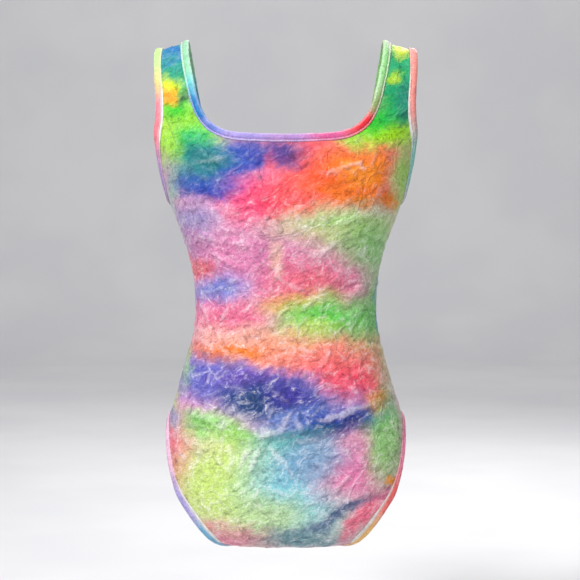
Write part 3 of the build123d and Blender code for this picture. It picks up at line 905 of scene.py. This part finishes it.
def velvet(name, base, splashes, spread=1.0, crush=1.0, pale=0.0):
    """Crushed stretch velvet: dyed pile, with highlights and shade painted into its colour where it would
    catch the light along its creases.
    """
    nodes = Nodes(name)
    between, math = nodes.between, nodes.math
    where = nodes.position()
    colour = dyed(nodes, where, base, splashes, spread)

    # crushed cells with thin lines between them, broken up by patches, streaks and two sizes of grain
    bent = nodes.pushed(where, 0.030, where, 24.0, 3.0, 0.6)
    large, small = nodes.cells(bent, 34.0, "F1"), nodes.cells(bent, 83.0, "F1")
    lines = between(nodes.cells(bent, 30.0, "DISTANCE_TO_EDGE"), 0.060, 0.0)
    thin = between(nodes.cells(bent, 92.0, "DISTANCE_TO_EDGE"), 0.090, 0.0)
    patches = nodes.noise(where, 19.0, 4.0, 0.6, 0.8)
    mottle = nodes.noise(nodes.stretched(bent, 0.5, 2.1), 84.0, 7.0, 0.74, 0.15)
    fine = nodes.noise(where, 640.0, 3.0, 0.7)
    grit = nodes.noise(nodes.stretched(where, 0.4, 1.6), 300.0, 4.0, 0.8)

    # painted highlight: the colour made paler where the pile would lie towards the light, on cell lines,
    # streaks and crease ridges; less of it on the chest, which is stretched smooth
    height = nodes.add("ShaderNodeSeparateXYZ", {0: where}).outputs["Z"]
    crease = nodes.add("ShaderNodeAttribute", {}, attribute_name="crease").outputs["Fac"]
    painted_highlight = math("MULTIPLY", lines, between(patches, 0.50, 0.64, 0.0, 0.40))
    painted_highlight = math("ADD", painted_highlight, math("MULTIPLY", thin, between(mottle, 0.5, 0.62, 0.0, 0.35)))
    painted_highlight = math("ADD", painted_highlight, between(mottle, 0.48, 0.80, 0.0, 0.9), clamp=True)
    painted_highlight = math("MULTIPLY", painted_highlight, between(height, 0.45, 0.37, 0.2, 1.0))
    # painted highlight along the ridges of the creases
    painted_highlight = math("MAXIMUM", painted_highlight, between(crease, 0.7, 2.8, 0.0, 0.62))

    # painted shade: the colour darkened where the pile would lie away from the light, on cell lines and
    # in crease valleys
    painted_shade = math("MULTIPLY", between(mottle, 0.50, 0.34), between(patches, 0.66, 0.42, 0.35, 1.0))
    painted_shade = math("MAXIMUM", painted_shade, math("MULTIPLY", lines, between(patches, 0.46, 0.36, 0.0, 0.5)))
    # painted shade in the valleys of the creases
    painted_shade = math("MAXIMUM", painted_shade, between(crease, -0.1, -1.1, 0.0, 0.62))

    # painted highlight: the dyed colour mixed towards a pale tint
    colour = nodes.mix(math("MULTIPLY", painted_highlight, 0.58 * crush), colour, linear(PAINTED_HIGHLIGHT_TINT))
    # painted shade: the colour multiplied by a dark tint
    colour = nodes.mix(math("MULTIPLY", painted_shade, 0.66 * crush), colour, linear(PAINTED_SHADE_TINT), "MULTIPLY")
    # painted sheen: the colour mixed towards pale on the rounded edges of a binding
    if pale:
        colour = nodes.mix(pale, colour, linear(0xF8F2F6))
    colour = nodes.speckled(colour, fine, 0.3, 0.7, 0.84, 1.16)
    colour = nodes.speckled(colour, grit, 0.36, 0.64, 0.76, 1.20)

    raised = math("ADD", math("MULTIPLY", small, 0.24), large)
    raised = math("ADD", raised, math("MULTIPLY", mottle, 0.18))
    raised = math("ADD", raised, math("MULTIPLY", lines, 0.16))
    press = nodes.bump(raised, 0.0032, 0.9 * crush)
    return nodes.finish(
        Base_Color=colour, Roughness=between(mottle, 0.3, 0.75, 0.74, 0.44),
        Normal=nodes.bump(fine, 0.00025, 0.5, press),
        Sheen_Weight=0.14, Sheen_Roughness=0.3, Specular_IOR_Level=0.5,
    )


def knit_back(name, base, splashes):
    """The wrong side of the cloth: the dye shows through a fine matte knit."""
    nodes = Nodes(name)
    where = nodes.position()
    colour = nodes.mix(0.45, dyed(nodes, where, base, splashes, 1.0), linear(0xECE6E8))
    fine = nodes.noise(where, 900.0, 2.0)
    return nodes.finish(
        Base_Color=nodes.speckled(colour, fine, 0.3, 0.7, 0.86, 1.08),
        Roughness=nodes.between(fine, 0.2, 0.8, 0.82, 0.95),
        Normal=nodes.bump(nodes.bands(where, "X", 420.0, 1.2), 0.0002, 0.5),
        Specular_IOR_Level=0.2,
    )


def woven(name, colour, shade, scale, rough=0.85, sheen=0.1):
    """A plain textile or thread with fine bands across it."""
    nodes = Nodes(name)
    where = nodes.position()
    bands = nodes.bands(where, "Z", scale, 0.8)
    mottle = nodes.noise(where, 160.0, 3.0)
    tint = nodes.mix(nodes.between(mottle, 0.3, 0.7), linear(colour), linear(shade))
    tint = nodes.mix(nodes.math("MULTIPLY", bands, 0.25), tint, linear(shade), "MULTIPLY")
    return nodes.finish(
        Base_Color=tint, Roughness=nodes.between(mottle, 0.2, 0.8, rough - 0.08, rough + 0.06),
        Normal=nodes.bump(bands, 0.00015, 0.6), Sheen_Weight=sheen,
    )


def stage_material():
    """The pale paper of the floor and wall."""
    nodes = Nodes("stage_paper")
    mottle = nodes.noise(nodes.position(), 3.0, 2.0)
    tint = nodes.mix(nodes.between(mottle, 0.3, 0.7), linear(0xD6D6D8), linear(0xDCDBDC))
    return nodes.finish(Base_Color=tint, Roughness=0.9)


# ------------ build the garment
FRONT_BASE = 0xE2A6C4
BACK_BASE = 0xE2B0C8
TRIM_BASE = 0xCEA8B8
front_velvet = velvet("front_velvet", FRONT_BASE, FRONT_DYE)
back_velvet = velvet("back_velvet", BACK_BASE, BACK_DYE)
trim_velvet = velvet("trim_velvet", TRIM_BASE, TRIM_DYE, spread=0.45, crush=0.5)
# the bindings' velvet with painted sheen, for the ridge and the folded edge
trim_painted_sheen = velvet("trim_painted_sheen", TRIM_BASE, TRIM_DYE, spread=0.45, crush=0.5, pale=0.14)
front_inside = knit_back("front_inside", FRONT_BASE, FRONT_DYE)
back_inside = knit_back("back_inside", BACK_BASE, BACK_DYE)
stitch_thread = woven("stitch_thread", 0xF4D6E0, 0xD6B4C8, 900.0)
seam_thread = woven("seam_thread", 0xEEE6E4, 0xCEC4C8, 260.0)
lining_knit = woven("lining_knit", 0xEEE9E0, 0xD8D2CA, 320.0)
elastic_braid = woven("elastic_braid", 0xECEAE4, 0xCCCAC6, 260.0)
satin_label = woven("satin_label", 0xF6F6F4, 0xE2E2E4, 700.0, rough=0.4, sheen=0.3)

front = make_cloth(
    "front_panel_velvet", PANEL, open_cuts(PANEL_EDGE) + [behind_field],
    lambda p: relief(p, True), [front_velvet, front_inside],
)
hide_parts("front_panel")
back = make_cloth(
    "back_panel_velvet", PANEL, open_cuts(PANEL_EDGE) + [lambda p: -behind_field(p)],
    lambda p: relief(p, False), [back_velvet, back_inside],
)
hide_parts("back_panel")
lining = make_cloth(
    "gusset_lining_knit", LINING,
    [lambda p: leg_field(p) + PANEL_EDGE, lambda p: p[:, 2] - LINING_TOP_Z, lining_end],
    lambda p: np.zeros(len(p)), [lining_knit],
)
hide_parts("gusset_lining")
label = make_label(satin_label)
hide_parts("care_label")

surface = Surface(BODY_CELL)
trims = []
for kind, field in (("neck", neck_field), ("armhole", arm_field), ("leg", leg_field)):
    for ring, inward in opening_rings(surface, field):
        side = "" if kind == "neck" else "left_" if ring[:, 0].mean() > 0 else "right_"
        trim = make_binding(
            f"{side}{kind}_binding_velvet", surface, ring, inward, [trim_velvet, trim_painted_sheen])
        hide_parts(f"{side}{kind}_binding")
        stitches = make_stitches(f"{side}{kind}_topstitch", surface, ring, inward, stitch_thread)
        trims += [trim, stitches]

CAD_FINISH = {"elastic": elastic_braid, "thread": seam_thread}
slot_of = {part["node"]: part["material_slot"] for part in frame["record"]["subparts"]}
for node, cad in frame["nodes"].items():
    if slot_of[node] in CAD_FINISH:
        for material_slot in cad.material_slots:
            material_slot.material = CAD_FINISH[slot_of[node]]


# ------------ stage, light and camera
# all in metres
FLOOR = -0.22
STAGE_FRONT, STAGE_BEND, STAGE_HALF_WIDTH, WALL_TOP = -7.0, 4.0, 7.0, 5.0
GARMENT = (0, 0, 0.3)
# name, place, aim, width and height, power
LIGHTS = (
    ("key", (-0.9, -1.6, 1.9), GARMENT, (0.4, 0.4), 60),
    ("fill", (1.5, -1.9, 0.5), GARMENT, (1.6, 1.8), 8),
    ("top", (0, 0.2, 2.2), GARMENT, (1.4, 1.0), 14),
    ("back", (0.6, 1.9, 1.5), GARMENT, (1.0, 0.8), 30),
    ("wall", (0, 2.4, 2.6), (0, 4.6, 0.9), (3.0, 0.6), 34),
    ("front_wall", (0, -2.8, 2.6), (0, -6.0, 0.6), (3.0, 0.6), 24),
)
AMBIENT_TINT = (0.95, 0.96, 1.0, 1)
AMBIENT = 0.36
CAMERA_PLACE = (0.005, -2.4, 0.47)
CAMERA_AIM = (0.005, 0.0, 0.300)
CAMERA_REACH = 2.4  # how far off the frame is as wide as stated next
HALF_FRAME = 0.350
SENSOR = 36.0  # mm


def make_stage():
    """A pale floor that curves up into a wall behind."""
    profile = [(STAGE_FRONT, FLOOR), (STAGE_BEND, FLOOR)]
    profile += [
        (STAGE_BEND + sin(radians(tip)), FLOOR + 1 - cos(radians(tip))) for tip in range(10, 91, 10)]
    profile += [(STAGE_BEND + 1, WALL_TOP)]
    points = [(x, y, z) for y, z in profile for x in (-STAGE_HALF_WIDTH, STAGE_HALF_WIDTH)]
    faces = [(2 * i, 2 * i + 1, 2 * i + 3, 2 * i + 2) for i in range(len(profile) - 1)]
    new_object("stage", points, faces, [stage_material()])


def turned_to(place, aim):
    """The rotation that makes a lamp or camera look from its place at its aim."""
    return (Vector(aim) - Vector(place)).to_track_quat("-Z", "Y").to_euler()


def add_light(name, place, aim, size, power):
    """A soft rectangular lamp."""
    lamp = bpy.data.lights.new(name, "AREA")
    lamp.shape = "RECTANGLE"
    lamp.size, lamp.size_y = size
    lamp.energy = power
    light = bpy.data.objects.new(name, lamp)
    light.location = place
    light.rotation_euler = turned_to(place, aim)
    bpy.context.scene.collection.objects.link(light)


make_stage()
for settings in LIGHTS:
    add_light(*settings)
world = bpy.data.worlds.new("world")
world.use_nodes = True
ambient = world.node_tree.nodes["Background"].inputs
ambient[0].default_value = AMBIENT_TINT
ambient[1].default_value = AMBIENT
bpy.context.scene.world = world
bpy.context.scene.view_settings.view_transform = "Standard"

eye = bpy.data.cameras.new("camera")
camera = bpy.data.objects.new("camera", eye)
camera.location = CAMERA_PLACE
camera.rotation_euler = turned_to(CAMERA_PLACE, CAMERA_AIM)
eye.sensor_width = SENSOR
eye.lens = SENSOR * CAMERA_REACH / (2 * HALF_FRAME)
bpy.context.scene.collection.objects.link(camera)
bpy.context.scene.camera = camera
